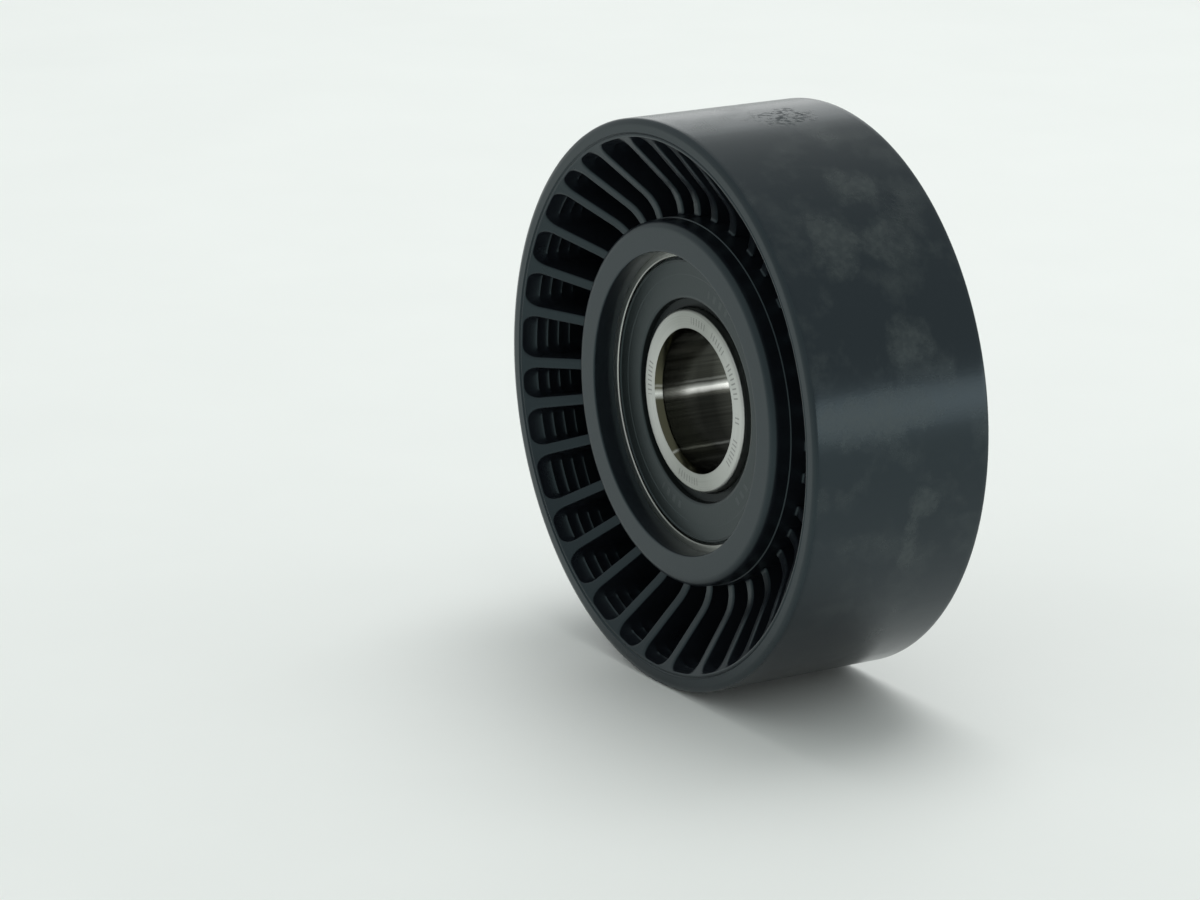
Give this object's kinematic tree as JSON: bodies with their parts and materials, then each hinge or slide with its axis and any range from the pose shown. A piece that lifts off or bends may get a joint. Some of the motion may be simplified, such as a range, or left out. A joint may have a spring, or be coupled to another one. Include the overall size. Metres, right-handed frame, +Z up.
{
  "type": "belt tensioner idler",
  "caption": "Smooth-faced ribbed plastic idler pulley moulded round a sealed ball bearing, bolted through its bore to guide or tension a drive belt.",
  "frame": {"origin": "centre of the pulley, on its axis, midway between its two faces", "axes": "Y along the pulley's axis, with the front face towards -Y; +Z up; the bearing's inner ring is the fixed body"},
  "size_m": [0.07, 0.0244, 0.07],
  "materials": {
    "moulded_plastic": "satin moulded, polished and smudged on the running surface",
    "outer_ring_steel": "ground",
    "inner_ring_steel": "finely ground, turned in the bore",
    "ball_steel": "polished",
    "cage_steel": "pressed sheet",
    "rivet_steel": "satin",
    "seal_rubber": "matt",
    "insert_steel": "satin"
  },
  "bodies": {
    "inner_ring": {"bearing_inner_ring": "inner_ring_steel"},
    "pulley": {"pulley_body": "moulded_plastic", "bearing_outer_ring": "outer_ring_steel", "front_seal_lip": "seal_rubber", "front_seal_insert": "insert_steel", "rear_seal_lip": "seal_rubber", "rear_seal_insert": "insert_steel"},
    "cage": {"cage_front_half": "cage_steel", "cage_rear_half": "cage_steel", "cage_rivets": "rivet_steel"},
    "ball_body_1": {"ball_1": "ball_steel"},
    "ball_body_2": {"ball_2": "ball_steel"},
    "ball_body_3": {"ball_3": "ball_steel"},
    "ball_body_4": {"ball_4": "ball_steel"},
    "ball_body_5": {"ball_5": "ball_steel"},
    "ball_body_6": {"ball_6": "ball_steel"},
    "ball_body_7": {"ball_7": "ball_steel"},
    "ball_body_8": {"ball_8": "ball_steel"}
  },
  "joints": [
    {"name": "pulley_spin", "type": "hinge", "parent": "inner_ring", "child": "pulley", "pos_m": [0, 0, 0], "axis": [0, 1, 0], "continuous": true},
    {"name": "cage_spin", "type": "hinge", "parent": "inner_ring", "child": "cage", "pos_m": [0, 0, 0], "axis": [0, 1, 0], "continuous": true},
    {"name": "ball_1_spin", "type": "hinge", "parent": "cage", "child": "ball_body_1", "pos_m": [0, 0, 0.01425], "axis": [0, 1, 0], "continuous": true},
    {"name": "ball_2_spin", "type": "hinge", "parent": "cage", "child": "ball_body_2", "pos_m": [0.01008, 0, 0.01008], "axis": [0, 1, 0], "continuous": true},
    {"name": "ball_3_spin", "type": "hinge", "parent": "cage", "child": "ball_body_3", "pos_m": [0.01425, 0, 0], "axis": [0, 1, 0], "continuous": true},
    {"name": "ball_4_spin", "type": "hinge", "parent": "cage", "child": "ball_body_4", "pos_m": [0.01008, 0, -0.01008], "axis": [0, 1, 0], "continuous": true},
    {"name": "ball_5_spin", "type": "hinge", "parent": "cage", "child": "ball_body_5", "pos_m": [0, 0, -0.01425], "axis": [0, 1, 0], "continuous": true},
    {"name": "ball_6_spin", "type": "hinge", "parent": "cage", "child": "ball_body_6", "pos_m": [-0.01008, 0, -0.01008], "axis": [0, 1, 0], "continuous": true},
    {"name": "ball_7_spin", "type": "hinge", "parent": "cage", "child": "ball_body_7", "pos_m": [-0.01425, 0, 0], "axis": [0, 1, 0], "continuous": true},
    {"name": "ball_8_spin", "type": "hinge", "parent": "cage", "child": "ball_body_8", "pos_m": [-0.01008, 0, 0.01008], "axis": [0, 1, 0], "continuous": true}
  ],
  "couplings": [
    {"joint": "cage_spin", "follows": "pulley_spin", "ratio": 0.61837},
    {"joint": "ball_1_spin", "follows": "pulley_spin", "ratio": 1.9937},
    {"joint": "ball_2_spin", "follows": "pulley_spin", "ratio": 1.9937},
    {"joint": "ball_3_spin", "follows": "pulley_spin", "ratio": 1.9937},
    {"joint": "ball_4_spin", "follows": "pulley_spin", "ratio": 1.9937},
    {"joint": "ball_5_spin", "follows": "pulley_spin", "ratio": 1.9937},
    {"joint": "ball_6_spin", "follows": "pulley_spin", "ratio": 1.9937},
    {"joint": "ball_7_spin", "follows": "pulley_spin", "ratio": 1.9937},
    {"joint": "ball_8_spin", "follows": "pulley_spin", "ratio": 1.9937}
  ]
}
